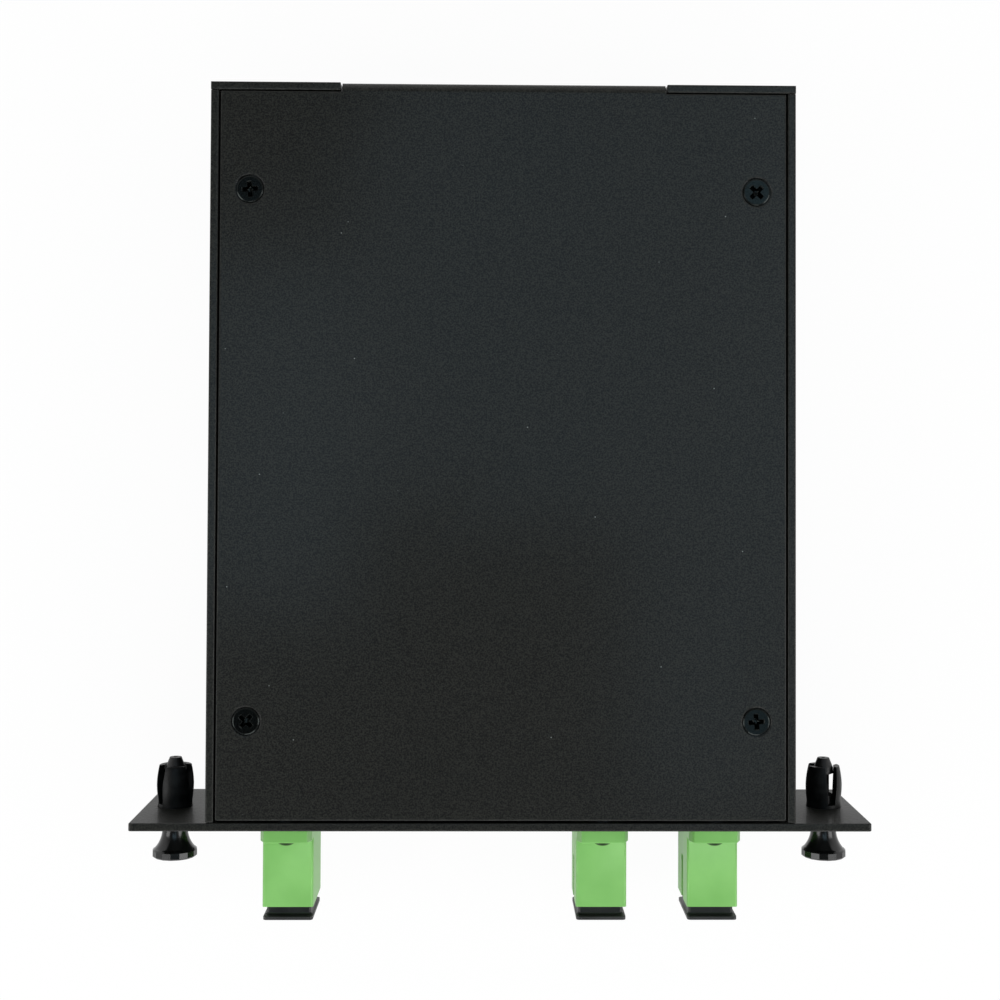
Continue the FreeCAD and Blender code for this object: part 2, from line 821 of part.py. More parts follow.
def outer_lead(x, case_side, y):
    """Lead of an outermost port: out of the case, one turn to the front, then up to the plug."""
    points = [
        (case_side * array_end, y, case_z),
        (x, y, case_z),
        (x, rise_start_outer, case_z),
        (x, rise_start_outer - rise_run_outer, 0),
        (x, plug_end, 0),
    ]
    return round_path(points, [turn_radius, rise_radius_outer, rise_radius_outer], lead_radius)


def inner_lead(x, y):
    """Lead of the inner port: out along the side wall, back under its neighbour, then up."""
    points = [
        (array_end, y, case_z),
        (side_lane_x, y, case_z),
        (side_lane_x, return_lane_y, case_z),
        (x, return_lane_y, case_z),
        (x, rise_start_inner, case_z),
        (x, rise_start_inner - rise_run_inner, 0),
        (x, plug_end, 0),
    ]
    radii = [turn_radius, side_lane_radius, side_lane_radius, rise_radius_inner, rise_radius_inner]
    return round_path(points, radii, lead_radius)


def fibre_clip(x, lead_y):
    """Clip on a lead that has just turned towards the front out of its run at lead_y."""
    y = lead_y - turn_radius - clip_after_turn
    y0 = y - clip_length / 2
    y1 = y + clip_length / 2
    top_z = case_z + clip_cover
    shape = block(x - clip_width / 2, x + clip_width / 2, y0, y1, floor, top_z)
    shape = shape.cut(rod(x, case_z, lead_radius + lead_bore_clearance, y0 - 1, y1 + 1))
    return shape.cut(block(x - clip_slit / 2, x + clip_slit / 2, y0 - 1, y1 + 1, case_z, top_z + 1))


save("tray", tray())
save("top_cover", top_cover())
save_group("cover_screws", [cover_screw(x, y, turn) for (x, y), turn in zip(screw_places, recess_turns)])
save_group("cover_standoffs", [standoff(x, y) for x, y in screw_places])

for port, x in ports.items():
    save("adapter_housing_" + port, adapter_housing(x))
    save("adapter_insert_" + port, adapter_insert(x))
    save("adapter_sleeve_" + port, adapter_sleeve(x))
    save("dust_cap_" + port, dust_cap(x))
    save("connector_" + port, connector(x))
    save("ferrule_" + port, ferrule(x))
    save("boot_" + port, boot(x))

ears = [(x, side * ear_spacing / 2) for x in ports.values() for side in (-1, 1)]
save_group("adapter_screws", [adapter_screw(x, z) for x, z in ears])
save_group("adapter_nuts", [adapter_nut(x, z) for x, z in ears])

for side in latches:
    save("latch_grommet_" + side, latch_grommet(side))
    save("latch_plunger_" + side, latch_plunger(side))

out_fibres = [case_y - lead_spread / 2, case_y + lead_spread / 2]
save("splitter_case", splitter_case())
save("splitter_end_in", end_cap(-1, [case_y]))
save("splitter_end_out", end_cap(1, out_fibres))
save("splitter_chip", inner_block(-chip_length / 2, chip_length / 2, chip_width,
                                  case_floor, case_floor + chip_thickness))
save("fibre_array_in", inner_block(-array_end, -chip_length / 2, array_size,
                                   case_floor, case_floor + array_size))
save("fibre_array_out", inner_block(chip_length / 2, array_end, array_size,
                                    case_floor, case_floor + array_size))
save("splitter_pad", splitter_pad())
save("lead_in", outer_lead(ports["in"], -1, case_y))
save("lead_out_1", inner_lead(ports["out_1"], out_fibres[1]))
save("lead_out_2", outer_lead(ports["out_2"], 1, out_fibres[0]))
save_group("fibre_clips", [
    fibre_clip(ports["in"], case_y),
    fibre_clip(ports["out_2"], out_fibres[0]),
    fibre_clip(side_lane_x, out_fibres[1]),
])
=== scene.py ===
import json
import math

import bmesh
import bpy
from mathutils import Matrix, Vector


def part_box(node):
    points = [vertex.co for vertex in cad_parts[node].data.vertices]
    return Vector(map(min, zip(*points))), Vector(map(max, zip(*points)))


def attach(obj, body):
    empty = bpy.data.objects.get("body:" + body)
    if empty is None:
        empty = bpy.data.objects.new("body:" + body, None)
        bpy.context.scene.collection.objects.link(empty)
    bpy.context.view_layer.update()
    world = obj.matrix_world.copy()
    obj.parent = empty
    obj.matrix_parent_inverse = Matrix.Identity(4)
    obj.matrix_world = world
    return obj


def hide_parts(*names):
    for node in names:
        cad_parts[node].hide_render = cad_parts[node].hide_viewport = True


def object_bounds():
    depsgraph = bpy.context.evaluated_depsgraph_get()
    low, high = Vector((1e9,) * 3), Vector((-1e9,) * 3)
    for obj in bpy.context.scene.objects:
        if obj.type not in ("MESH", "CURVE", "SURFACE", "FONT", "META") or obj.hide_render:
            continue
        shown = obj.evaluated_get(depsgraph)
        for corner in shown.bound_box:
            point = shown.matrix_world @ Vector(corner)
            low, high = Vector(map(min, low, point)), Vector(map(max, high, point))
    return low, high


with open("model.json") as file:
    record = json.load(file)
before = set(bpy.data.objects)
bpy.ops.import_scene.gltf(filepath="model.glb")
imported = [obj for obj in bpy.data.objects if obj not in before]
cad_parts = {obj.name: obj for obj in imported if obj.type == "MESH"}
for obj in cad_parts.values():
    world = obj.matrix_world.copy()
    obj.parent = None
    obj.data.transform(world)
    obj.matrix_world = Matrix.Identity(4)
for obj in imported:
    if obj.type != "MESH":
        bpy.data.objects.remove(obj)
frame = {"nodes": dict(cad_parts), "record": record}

# Metres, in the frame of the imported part. Sizes below are in millimetres and mm turns them.
mm = 0.001
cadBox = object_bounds()
nodes = frame["nodes"]
ports = ("in", "out_1", "out_2")
sides = ("left", "right")
print("frame loaded:", len(nodes), "nodes")


# Materials

def linear(hexColour):
    channels = [int(hexColour[i:i + 2], 16) / 255 for i in (1, 3, 5)]
    return [c / 12.92 if c <= 0.04045 else ((c + 0.055) / 1.055) ** 2.4 for c in channels] + [1.0]


def addNode(tree, kind, sockets=None, **settings):
    # A socket takes a plain value, another node's output, or a node, which gives its first output
    node = tree.nodes.new("ShaderNode" + kind)
    for name, value in settings.items():
        setattr(node, name, value)
    for name, value in (sockets or {}).items():
        source = value.outputs[0] if isinstance(value, bpy.types.Node) else value
        if isinstance(source, bpy.types.NodeSocket):
            tree.links.new(source, node.inputs[name])
        else:
            node.inputs[name].default_value = source
    return node


def startMaterial(name):
    material = bpy.data.materials.new(name)
    material.use_nodes = True
    material.node_tree.nodes.clear()
    return material, material.node_tree


def closeMaterial(tree, sockets):
    # Fixed numbers stand on the shader's own sockets, and patterns are linked to theirs
    shader = addNode(tree, "BsdfPrincipled", sockets)
    addNode(tree, "OutputMaterial", {"Surface": shader})


def spread(noise, low, high):
    # Settings that spread a noise, which keeps mostly between 0.3 and 0.7, over a range of values
    return {"Value": noise, "From Min": 0.3, "From Max": 0.7, "To Min": low, "To Max": high}


def mottled(tree, noise, look, span=(0.35, 0.65)):
    # Runs from the dark to the light colour as the noise goes through the span
    share = addNode(tree, "MapRange", {"Value": noise, "From Min": span[0], "From Max": span[1]})
    return addNode(tree, "MixRGB", {
        "Fac": share, "Color1": linear(look["dark"]), "Color2": linear(look["light"]),
    })


def speckled(tree, place, tone, look, core=0.4):
    # Specks of a width and mean spacing in millimetres, fading out from the core, which is a share of them
    specks = addNode(tree, "TexVoronoi", {"Vector": place, "Scale": 1 / (look["spacing"] * mm)})
    reach = look["width"] / look["spacing"] / 2
    dot = addNode(tree, "MapRange", {"Value": specks, "From Min": reach, "From Max": reach * core})
    return addNode(tree, "MixRGB", {"Fac": dot, "Color1": tone, "Color2": linear(look["speck"])})


# Powder coat on steel: baked texture powder, so a dull black skin of fine pimples that never shines hard.
# A thin gloss over it carries the soft light from above. Grain and orange peel are drawn coarse.
powderLook = {
    "dark": "#050605", "light": "#22231F", "toneSpan": (0.4, 0.6), "grain": 0.28, "grainRise": 0.05,
    "orangePeel": 0.7, "peelRise": 0.1, "drift": 30.0, "roughness": (0.46, 0.56), "edgeBuild": 0.4,
    "speck": "#787D7B", "spacing": 5.0, "width": 0.26, "core": 0.5,
    "sockets": {
        "IOR": 1.5, "Specular IOR Level": 0.14,
        "Coat Weight": 0.125, "Coat Roughness": 0.16, "Coat IOR": 1.9,
    },
}


def powderCoatedSteel():
    look = powderLook
    material, tree = startMaterial("powderCoatedSteel")
    place = addNode(tree, "TexCoord").outputs["Object"]
    grain = addNode(tree, "TexNoise", {
        "Vector": place, "Scale": 1 / (look["grain"] * mm), "Detail": 3.0, "Roughness": 0.6,
    })
    peel = addNode(tree, "TexNoise", {
        "Vector": place, "Scale": 1 / (look["orangePeel"] * mm), "Detail": 1.0,
    })
    drift = addNode(tree, "TexNoise", {"Vector": place, "Scale": 1 / (look["drift"] * mm), "Detail": 1.0})
    # The powder builds up over an edge, so the light turns round it softly
    turned = addNode(tree, "Bevel", {"Radius": look["edgeBuild"] * mm}, samples=6)
    waved = addNode(tree, "Bump", {"Height": peel, "Distance": look["peelRise"] * mm, "Normal": turned})
    pimpled = addNode(tree, "Bump", {"Height": grain, "Distance": look["grainRise"] * mm, "Normal": waved})
    tone = mottled(tree, grain, look, look["toneSpan"])
    closeMaterial(tree, {
        "Base Color": speckled(tree, place, tone, look, look["core"]),
        "Roughness": addNode(tree, "MapRange", spread(drift, *look["roughness"])),
        "Normal": pimpled, "Coat Normal": turned, **look["sockets"],
    })
    return material


# Moulded plastics: one even colour with a slow drift, a fine skin from the mould's spark-eroded steel and a
# few specks of regrind. Drift, skin, spacing and width are in millimetres.
mouldedLooks = {
    # PBT adapter housings: satin, a little light comes through the thin walls
    "pbtGreen": {
        "dark": "#72B257", "light": "#7DBD62", "drift": 9.0, "skin": 0.25, "skinRise": 0.006,
        "roughness": (0.38, 0.46), "speck": "#4E7A3E", "spacing": 6.0, "width": 0.22,
        "sockets": {
            "IOR": 1.55, "Subsurface Weight": 0.08, "Subsurface Scale": 1.0,
            "Subsurface Radius": (0.6 * mm, 0.9 * mm, 0.4 * mm),
        },
    },
    # PBT adapter insert: natural cream
    "pbtCream": {
        "dark": "#DCD2B4", "light": "#E6DDC2", "drift": 6.0, "skin": 0.25, "skinRise": 0.004,
        "roughness": (0.4, 0.5), "speck": "#B8AC8C", "spacing": 7.0, "width": 0.15,
        "sockets": {"IOR": 1.55},
    },
    # Soft polyethylene caps: dull and waxy
    "polyethyleneBlack": {
        "dark": "#161717", "light": "#202121", "drift": 4.0, "skin": 0.3, "skinRise": 0.008,
        "roughness": (0.42, 0.55), "speck": "#343635", "spacing": 5.0, "width": 0.18,
        "sockets": {"IOR": 1.51},
    },
    # Nylon 66 grommets: satin from the mould, rubbed a little greyer here and there
    "nylonBlack": {
        "dark": "#040505", "light": "#121313", "drift": 1.2, "skin": 0.4, "skinRise": 0.025,
        "roughness": (0.38, 0.5), "speck": "#3A3D3B", "spacing": 3.0, "width": 0.14,
        "sockets": {"IOR": 1.53, "Specular IOR Level": 0.18},
    },
    # The same nylon in the plungers: a polished knob, and the plain shaft from plainFrom along Y
    "nylonPolished": {
        "dark": "#040505", "light": "#080909", "drift": 3.0, "skin": 1.2, "skinRise": 0.006,
        "roughness": (0.16, 0.22), "speck": "#171A18", "spacing": 4.0, "width": 0.12,
        "plainFrom": 0.5, "plainRoughness": 0.45,
        "sockets": {"IOR": 1.53, "Specular IOR Level": 0.4},
    },
    # ABS plug housings of angled connectors: semi-gloss green
    "absGreen": {
        "dark": "#2F8A4E", "light": "#379657", "drift": 7.0, "skin": 0.3, "skinRise": 0.005,
        "roughness": (0.3, 0.42), "speck": "#2B7444", "spacing": 6.0, "width": 0.15,
        "sockets": {"IOR": 1.54},
    },
    # Thermoplastic rubber boots: soft and matt
    "rubberGreen": {
        "dark": "#2C7D48", "light": "#348B52", "drift": 5.0, "skin": 0.2, "skinRise": 0.012,
        "roughness": (0.6, 0.72), "speck": "#276B3E", "spacing": 6.0, "width": 0.15,
        "sockets": {"IOR": 1.5},
    },
    # Silicone rubber ends of the splitter case: dull, slightly oily
    "siliconeBlack": {
        "dark": "#141414", "light": "#1D1D1D", "drift": 3.0, "skin": 0.3, "skinRise": 0.01,
        "roughness": (0.5, 0.65), "speck": "#2A2A2A", "spacing": 5.0, "width": 0.12,
        "sockets": {"IOR": 1.43},
    },
    # Polyester elastomer jacket drawn over the fibres: smooth and slightly glossy yellow
    "elastomerYellow": {
        "dark": "#E3C53A", "light": "#EDD24A", "drift": 8.0, "skin": 0.4, "skinRise": 0.003,
        "roughness": (0.28, 0.4), "speck": "#C9AE34", "spacing": 9.0, "width": 0.1,
        "sockets": {"IOR": 1.5},
    },
    # Natural nylon clips: milky white
    "nylonNatural": {
        "dark": "#DDDCD4", "light": "#E8E7E0", "drift": 5.0, "skin": 0.4, "skinRise": 0.005,
        "roughness": (0.35, 0.5), "speck": "#C4C2B8", "spacing": 5.0, "width": 0.12,
        "sockets": {"IOR": 1.53},
    },
    # Ground zirconia: dense, cool white and very smooth
    "zirconiaCeramic": {
        "dark": "#E6E4DC", "light": "#EFEEE8", "drift": 2.0, "skin": 0.06, "skinRise": 0.0006,
        "roughness": (0.12, 0.2), "speck": "#DAD8CF", "spacing": 3.0, "width": 0.06,
        "sockets": {"IOR": 2.1},
    },
}


def moulded(name):
    look = mouldedLooks[name]
    material, tree = startMaterial(name)
    place = addNode(tree, "TexCoord").outputs["Object"]
    drift = addNode(tree, "TexNoise", {"Vector": place, "Scale": 1 / (look["drift"] * mm), "Detail": 3.0})
    skin = addNode(tree, "TexNoise", {"Vector": place, "Scale": 1 / (look["skin"] * mm)})
    rough = addNode(tree, "MapRange", spread(drift, *look["roughness"]))
    if "plainFrom" in look:
        along = addNode(tree, "SeparateXYZ", {"Vector": place}).outputs["Y"]
        beyond = addNode(tree, "Math", {0: along, 1: look["plainFrom"] * mm}, operation="GREATER_THAN")
        plain = addNode(tree, "Math", {0: beyond, 1: look["plainRoughness"]}, operation="MULTIPLY")
        rough = addNode(tree, "Math", {0: rough, 1: plain}, operation="MAXIMUM")
    closeMaterial(tree, {
        "Base Color": speckled(tree, place, mottled(tree, drift, look), look),
        "Roughness": rough,
        "Normal": addNode(tree, "Bump", {"Height": skin, "Distance": look["skinRise"] * mm}),
        **look["sockets"],
    })
    return material


# Metals: fine marks of the last process, with their size along X, Y and Z
metalLooks = {
    # Black oxide on screws: oily near-black, with glints on its turned edges
    "blackOxideSteel": {
        "dark": "#1C1E1D", "light": "#2C2F2E", "mark": (0.2, 0.2, 0.2), "rise": 0.003,
        "roughness": (0.14, 0.2),
    },
    # Bright zinc plate: pale, slightly bluish, soft crystals
    "zincPlatedSteel": {
        "dark": "#A9ADB0", "light": "#C6C9CB", "mark": (0.3, 0.3, 0.3), "rise": 0.004,
        "roughness": (0.25, 0.4),
    },
    # Drawn stainless tube: long hairlines along X
    "drawnStainless": {
        "dark": "#B4B5B6", "light": "#CDCECF", "mark": (6.0, 0.08, 0.08), "rise": 0.003,
        "roughness": (0.22, 0.34),
    },
}


def metal(name):
    look = metalLooks[name]
    material, tree = startMaterial(name)
    place = addNode(tree, "TexCoord").outputs["Object"]
    stretched = addNode(tree, "Mapping", {
        "Vector": place, "Scale": [1 / (size * mm) for size in look["mark"]],
    })
    marks = addNode(tree, "TexNoise", {"Vector": stretched, "Scale": 1.0, "Detail": 3.0})
    closeMaterial(tree, {
        "Base Color": mottled(tree, marks, look),
        "Metallic": 1.0,
        "Roughness": addNode(tree, "MapRange", spread(marks, *look["roughness"])),
        "Normal": addNode(tree, "Bump", {"Height": marks, "Distance": look["rise"] * mm}),
    })
    return material


# Fused silica chip and arrays: clear glass with faint striae
silicaLook = {"tone": "#E6F0F2", "clear": 0.85, "striae": 1.5, "rise": 0.002, "roughness": (0.03, 0.1)}


def fusedSilica():
    look = silicaLook
    material, tree = startMaterial("fusedSilica")
    place = addNode(tree, "TexCoord").outputs["Object"]
    striae = addNode(tree, "TexNoise", {"Vector": place, "Scale": 1 / (look["striae"] * mm)})
    closeMaterial(tree, {
        "Base Color": linear(look["tone"]),
        "IOR": 1.46,
        "Transmission Weight": look["clear"],
        "Roughness": addNode(tree, "MapRange", spread(striae, *look["roughness"])),
        "Normal": addNode(tree, "Bump", {"Height": striae, "Distance": look["rise"] * mm}),
    })
    return material


# Closed-cell polyethylene foam tape: white and matt, with a skin of small open cells
foamLook = {"dark": "#CFCFC8", "light": "#F0F0EA", "toneSpan": (0.1, 0.6), "cell": 0.35, "rise": 0.06}


def foamTape():
    look = foamLook
    material, tree = startMaterial("foamTape")
    place = addNode(tree, "TexCoord").outputs["Object"]
    cells = addNode(tree, "TexVoronoi", {"Vector": place, "Scale": 1 / (look["cell"] * mm)})
    closeMaterial(tree, {
        "Base Color": mottled(tree, cells, look, look["toneSpan"]),
        "Roughness": 0.85,
        "Normal": addNode(tree, "Bump", {"Height": cells, "Distance": look["rise"] * mm}),
    })
    return material


finishes = {name: moulded(name) for name in mouldedLooks}
finishes.update({name: metal(name) for name in metalLooks})
finishes["powderCoatedSteel"] = powderCoatedSteel()
finishes["fusedSilica"] = fusedSilica()
finishes["foamTape"] = foamTape()

# The finish of each slot in the record
finishOfSlot = {
    "coated_steel": "powderCoatedSteel", "black_screw": "blackOxideSteel", "zinc_steel": "zincPlatedSteel",
    "green_moulding": "pbtGreen", "cream_moulding": "pbtCream", "zirconia": "zirconiaCeramic",
    "black_cap": "polyethyleneBlack", "black_nylon": "nylonBlack", "green_plug": "absGreen",
    "green_boot": "rubberGreen", "case_steel": "drawnStainless", "black_rubber": "siliconeBlack",
    "silica": "fusedSilica", "foam": "foamTape", "fibre_jacket": "elastomerYellow",
    "clip_nylon": "nylonNatural",
}
slotOfNode = {part["node"]: part["material_slot"] for part in frame["record"]["subparts"]}
for name, cadNode in nodes.items():
    cadNode.data.materials.clear()
    cadNode.data.materials.append(finishes[finishOfSlot[slotOfNode[name]]])
print("materials made:", len(finishes))


# Making pieces

# Points within merge are one, and points within level lie in one plane. Faces that turn by less than flat
# degrees are one, and edges under sliver go.
meshRules = {"merge": 0.0004, "cutMerge": 0.001, "level": 0.01, "flat": 0.5, "sliver": 0.0005}

# Seen along the screws, points closer together than this belong to one screw
screwGap = {"cover_screws": 10.0, "adapter_screws": 5.0}


def bodyOf(node):
    bodies = frame["record"]["behaviour"]["bodies"]
    return next(body for body, members in bodies.items() if node in members)


def addPiece(name, shape, node, smoothBelow=38.0, finish=None):
    # The shape comes in millimetres and stands for the node, on its body and in its finish
    slot = slotOfNode[node]
    bmesh.ops.scale(shape, vec=(mm, mm, mm), verts=shape.verts)
    mesh = bpy.data.meshes.new(name)
    shape.to_mesh(mesh)
    shape.free()
    mesh.materials.append(finishes[finish or finishOfSlot[slot]])
    mesh.shade_smooth()
    mesh.set_sharp_from_angle(angle=math.radians(smoothBelow))
    piece = bpy.data.objects.new(name, mesh)
    bpy.context.scene.collection.objects.link(piece)
    flats = piece.modifiers.new("flatsStayFlat", "WEIGHTED_NORMAL")
    flats.keep_sharp = True
    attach(piece, bodyOf(node))
    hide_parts(node)
    return piece


def solidOf(node):
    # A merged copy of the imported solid, in millimetres, its flat faces whole again
    shape = bmesh.new()
    shape.from_mesh(nodes[node].data)
    bmesh.ops.scale(shape, vec=(1 / mm, 1 / mm, 1 / mm), verts=shape.verts)
    bmesh.ops.remove_doubles(shape, verts=shape.verts, dist=meshRules["merge"])
    # Two faces on the same points are a fold with nothing inside
    corners = {}
    for face in shape.faces:
        corners.setdefault(frozenset(face.verts), []).append(face)
    folded = [face for twins in corners.values() if len(twins) > 1 for face in twins]
    bmesh.ops.delete(shape, geom=folded, context="FACES_ONLY")
    bmesh.ops.dissolve_limit(
        shape, angle_limit=math.radians(meshRules["flat"]), use_dissolve_boundaries=False,
        verts=shape.verts, edges=shape.edges, delimit={"NORMAL"})
    return shape


def roundEdges(shape, radius, wanted, segments=2, sharperThan=25.0, outward=1):
    # Rounds each outward edge that is wanted and turns by more than the angle; outward -1 fills inward ones
    limit = math.radians(sharperThan)
    edges = [
        edge for edge in shape.edges
        if edge.is_manifold and edge.calc_face_angle_signed(0.0) * outward > limit and wanted(edge)
    ]
    bmesh.ops.bevel(
        shape, geom=edges, offset=radius, offset_type="OFFSET", segments=segments, profile=0.5,
        affect="EDGES", clamp_overlap=True, material=-1)
    bmesh.ops.dissolve_degenerate(shape, dist=meshRules["sliver"], edges=shape.edges)


def longEdge(length):
    return lambda edge: edge.calc_length() > length


def flatAcross(axis, place):
    # True for an edge that lies in the plane at that place along the axis
    return lambda edge: all(abs(vert.co[axis] - place) < meshRules["level"] for vert in edge.verts)


def screwCentres(node, axis):
    # The middle of each screw in a node, found from its points across the axis
    shape = solidOf(node)
    across = [index for index in (0, 1, 2) if index != axis]
    groups = []
    for vert in shape.verts:
        spot = Vector([vert.co[index] for index in across])
        near = next((group for group in groups if (group[0] - spot).length < screwGap[node]), None)
        if near:
            near.append(spot)
        else:
            groups.append([spot])
    shape.free()
    centres = []
    for group in groups:
        low = [min(spot[i] for spot in group) for i in (0, 1)]
        high = [max(spot[i] for spot in group) for i in (0, 1)]
        centres.append(((low[0] + high[0]) / 2, (low[1] + high[1]) / 2))
    return sorted(centres)


def awayFrom(centres, spot):
    # The level step to a spot from the nearest of the centres
    steps = [Vector((spot.x - x, spot.y - y, 0)) for x, y in centres]
    return min(steps, key=lambda step: step.length)


def carve(shape, cutter):
    # What is left of the shape once the cutter is taken out of it, both in millimetres
    holders = []
    for name, part in (("blank", shape), ("cutter", cutter)):
        mesh = bpy.data.meshes.new(name)
        part.to_mesh(mesh)
        part.free()
        holder = bpy.data.objects.new(name, mesh)
        bpy.context.scene.collection.objects.link(holder)
        holders.append(holder)
    cut = holders[0].modifiers.new("cut", "BOOLEAN")
    cut.operation = "DIFFERENCE"
    cut.solver = "EXACT"
    cut.use_self = True
    cut.object = holders[1]
    whole = holders[0].evaluated_get(bpy.context.evaluated_depsgraph_get())
    result = bmesh.new()
    result.from_mesh(whole.data)
    for holder in holders:
        bpy.data.objects.remove(holder)
    bmesh.ops.remove_doubles(result, verts=result.verts, dist=meshRules["cutMerge"])
    return result


def cutThread(shape, centre, top, look):
    # Rings of a fine thread: the shank's long edges are divided and every second ring is drawn in
    def inShank(vert):
        return awayFrom([centre], vert.co).length < look["shankReach"] and vert.co.z < top

    flanks = [
        edge for edge in shape.edges if all(inShank(vert) for vert in edge.verts)
        and abs(edge.verts[0].co.z - edge.verts[1].co.z) > look["pitch"] * 2
    ]
    foot = min(vert.co.z for edge in flanks for vert in edge.verts)
    length = max(vert.co.z for edge in flanks for vert in edge.verts) - foot
    rings = 2 * round(length / look["pitch"])
    bmesh.ops.subdivide_edges(shape, edges=flanks, cuts=rings - 1)
    for vert in shape.verts:
        ring = round((vert.co.z - foot) / length * rings)
        away = awayFrom([centre], vert.co)
        if inShank(vert) and ring % 2 and ring < rings and away.length > look["shankReach"] / 2:
            vert.co -= away.normalized() * look["threadDepth"]


def loftOf(sections, x, z, corner, segments=5):
    # A rounded rectangle across Y, pushed from section to section and drawn in or out on the way
    place, width, height = sections[0]
    shape = bmesh.new()
    bmesh.ops.create_grid(shape, x_segments=1, y_segments=1, size=0.5)
    across = Matrix.Rotation(math.radians(90), 4, "X") @ Matrix.Diagonal((width, height, 1, 1))
    bmesh.ops.transform(shape, matrix=Matrix.Translation((x, place, z)) @ across, verts=shape.verts)
    bmesh.ops.bevel(
        shape, geom=list(shape.verts), offset=corner, offset_type="OFFSET", segments=segments, profile=0.5,
        affect="VERTICES", material=-1)
    shape.faces.ensure_lookup_table()
    face = shape.faces[0]
    steps = zip(sections, sections[1:])
    for step, ((place, width, height), (nextPlace, nextWidth, nextHeight)) in enumerate(steps):
        pushed = bmesh.ops.extrude_face_region(shape, geom=[face])["geom"]
        # The first face stays as the front, and each later one would be left inside
        if step:
            bmesh.ops.delete(shape, geom=[face], context="FACES_ONLY")
        face = next(item for item in pushed if isinstance(item, bmesh.types.BMFace))
        bmesh.ops.scale(
            shape, vec=(nextWidth / width, 1, nextHeight / height), verts=face.verts,
            space=Matrix.Translation((-x, -place, -z)))
        bmesh.ops.translate(shape, vec=(0, nextPlace - place, 0), verts=face.verts)
    bmesh.ops.recalc_face_normals(shape, faces=shape.faces)
    return shape


# Floor, light and camera

studio = {
    "floorWidth": 4000.0, "floorGap": 0.03, "floorTone": "#F4F4F2", "floorRoughness": 0.9,
    "backdropShare": 0.95, "ambient": 0.5, "zenithGlow": 0.12, "glowFades": (0.35, 0.93),
    "lamps": {
        # name: place and aim in millimetres, width and depth, watts, colour
        "rearSoftbox": ((55.0, 215.0, 900.0), (55.0, 215.0, 0.0), (310.0, 370.0), 0.35, "#C4E9FF"),
        "leftSoftbox": ((-165.0, 85.0, 900.0), (-165.0, 85.0, 0.0), (130.0, 270.0), 0.14, "#C4E9FF"),
        "rightSoftbox": ((175.0, -85.0, 900.0), (175.0, -85.0, 0.0), (130.0, 230.0), 0.09, "#C4E9FF"),
        "edgeSoftbox": ((210.0, 180.0, 900.0), (210.0, 180.0, 0.0), (160.0, 480.0), 0.32, "#C4E9FF"),
        "rightLamp": ((620.0, -80.0, 460.0), (0.0, 60.0, 0.0), (420.0, 420.0), 2.0, "#FFFFFF"),
        "leftLamp": ((-620.0, -120.0, 460.0), (0.0, 60.0, 0.0), (420.0, 420.0), 1.8, "#FFFFFF"),
        "frontLamp": ((40.0, -620.0, 420.0), (0.0, 0.0, 0.0), (500.0, 500.0), 2.2, "#FFFFFF"),
    },
}


def seenDirectly(tree):
    # 1 for rays from the camera and for those that gloss and glass send out
    rays = addNode(tree, "LightPath").outputs
    first = addNode(tree, "Math", {0: rays["Is Camera Ray"], 1: rays["Is Glossy Ray"]}, operation="MAXIMUM")
    return addNode(tree, "Math", {0: first, 1: rays["Is Transmission Ray"]}, operation="MAXIMUM")


def makeWorld():
    world = bpy.data.worlds.new("studioAir")
    world.use_nodes = True
    tree = world.node_tree
    tree.nodes.clear()
    plain = addNode(tree, "Background", {"Color": (1, 1, 1, 1), "Strength": studio["ambient"]})
    # Gloss sees a white room up to a greyer ceiling; a level camera sees plain white all round
    direction = addNode(tree, "TexCoord").outputs["Generated"]
    height = addNode(tree, "SeparateXYZ", {"Vector": direction}).outputs["Z"]
    fadeFrom, fadeTo = studio["glowFades"]
    glow = addNode(tree, "MapRange", {
        "Value": height, "From Min": fadeFrom, "From Max": fadeTo, "To Min": 1.0,
        "To Max": studio["zenithGlow"],
    })
    white = addNode(tree, "Background", {"Color": (1, 1, 1, 1), "Strength": glow})
    mixed = addNode(tree, "MixShader", {"Fac": seenDirectly(tree), 1: plain, 2: white})
    addNode(tree, "OutputWorld", {"Surface": mixed})
    bpy.context.scene.world = world


def makeFloor():
    # Painted board: it takes the shadow, and to the camera it glows almost white
    material, tree = startMaterial("paintedFloor")
    paint = addNode(tree, "BsdfPrincipled", {
        "Base Color": linear(studio["floorTone"]), "Roughness": studio["floorRoughness"],
    })
    glow = addNode(tree, "Emission", {"Color": (1, 1, 1, 1), "Strength": 1.0})
    share = addNode(tree, "Math", {0: seenDirectly(tree), 1: studio["backdropShare"]}, operation="MULTIPLY")
    mixed = addNode(tree, "MixShader", {"Fac": share, 1: paint, 2: glow})
    addNode(tree, "OutputMaterial", {"Surface": mixed})
    plane = bmesh.new()
    bmesh.ops.create_grid(plane, x_segments=1, y_segments=1, size=studio["floorWidth"] / 2 * mm)
    floorHeight = cadBox[0][2] - studio["floorGap"] * mm
    bmesh.ops.translate(plane, vec=(0, 0, floorHeight), verts=plane.verts)
    mesh = bpy.data.meshes.new("floor")
    plane.to_mesh(mesh)
    plane.free()
    mesh.materials.append(material)
    floor = bpy.data.objects.new("floor", mesh)
    bpy.context.scene.collection.objects.link(floor)


def makeLamps():
    for name, (place, aim, size, watts, colour) in studio["lamps"].items():
        lamp = bpy.data.lights.new(name, "AREA")
        lamp.shape = "RECTANGLE"
        lamp.size = size[0] * mm
        lamp.size_y = size[1] * mm
        lamp.energy = watts
        lamp.color = linear(colour)[:3]
        holder = bpy.data.objects.new(name, lamp)
        bpy.context.scene.collection.objects.link(holder)
        holder.location = Vector(place) * mm
        holder.rotation_euler = (Vector(aim) - Vector(place)).to_track_quat("-Z", "Y").to_euler()


